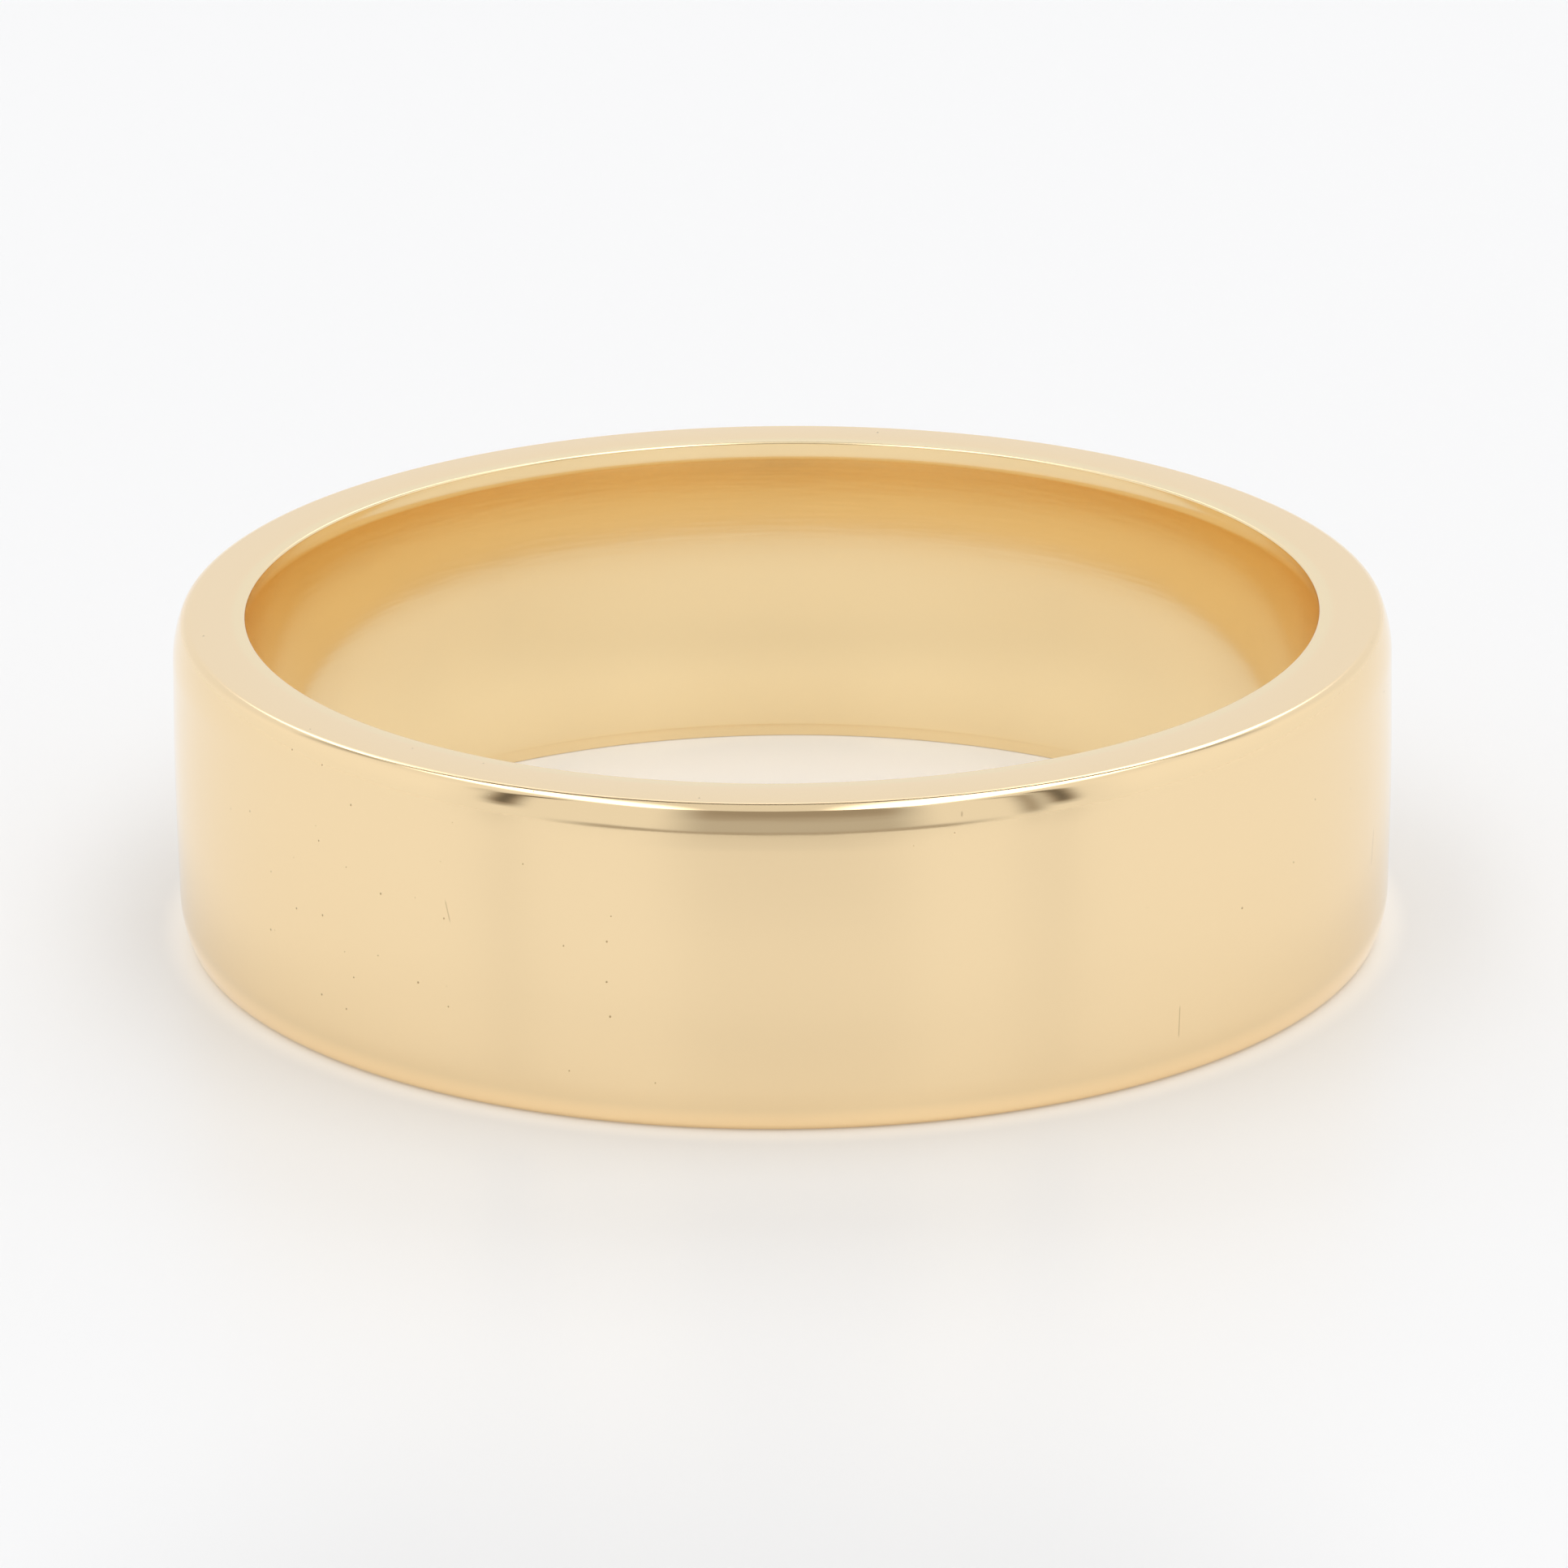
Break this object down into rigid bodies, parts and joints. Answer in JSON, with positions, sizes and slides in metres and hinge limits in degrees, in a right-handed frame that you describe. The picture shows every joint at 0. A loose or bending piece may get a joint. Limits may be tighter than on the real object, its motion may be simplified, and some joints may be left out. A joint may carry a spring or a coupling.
{
  "type": "wedding band",
  "caption": "Plain polished finger ring with a flat outer face, flat side faces, softly rounded outer edges and a slightly domed comfort-fit bore.",
  "frame": {"origin": "centre of the finger hole, half way across the width of the band", "axes": "+Z along the axis of the finger hole, square to the side face that faces up when the band lies flat; X and Y across the ring, with nothing to tell them apart"},
  "size_m": [0.0222, 0.0222, 0.006],
  "materials": {
    "polished_gold": "high polish, pale yellow gold with faint wear"
  },
  "bodies": {
    "root": {"band": "polished_gold"}
  },
  "joints": []
}
